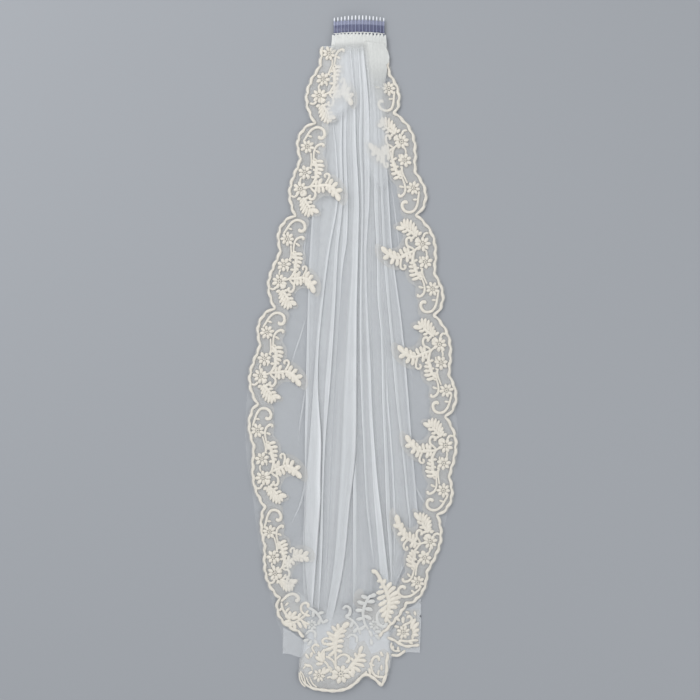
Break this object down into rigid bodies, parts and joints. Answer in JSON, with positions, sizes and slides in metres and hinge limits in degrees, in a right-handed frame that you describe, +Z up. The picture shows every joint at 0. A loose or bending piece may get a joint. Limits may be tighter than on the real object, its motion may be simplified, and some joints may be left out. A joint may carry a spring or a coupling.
{
  "type": "bridal veil",
  "caption": "Single-tier tulle bridal veil with a corded lace border, gathered to a clear plastic hair comb and laid flat.",
  "frame": {"origin": "on the table, under the middle of the laid-out veil's box", "axes": "+Y towards the comb and the way its teeth point, +X to the right seen from above with the comb at the top, +Z up off the table"},
  "size_m": [0.3356, 1.0616, 0.0158],
  "materials": {
    "comb": "clear, moulded",
    "gathered_tulle": "matte net, gathered",
    "tulle": "fine sheer net",
    "pleated_tulle": "fine sheer net, several layers",
    "lace": "corded embroidery on net"
  },
  "bodies": {
    "root": {"comb": "comb", "heading": "gathered_tulle", "back_tulle": "tulle", "left_front": "tulle", "right_front": "tulle", "fold_left": "tulle", "fold_right": "tulle", "hidden_folds": "tulle", "centre_pleats": "pleated_tulle", "lace_left": "lace", "lace_right": "lace", "lace_tail": "lace", "lace_fold": "lace"}
  },
  "joints": []
}
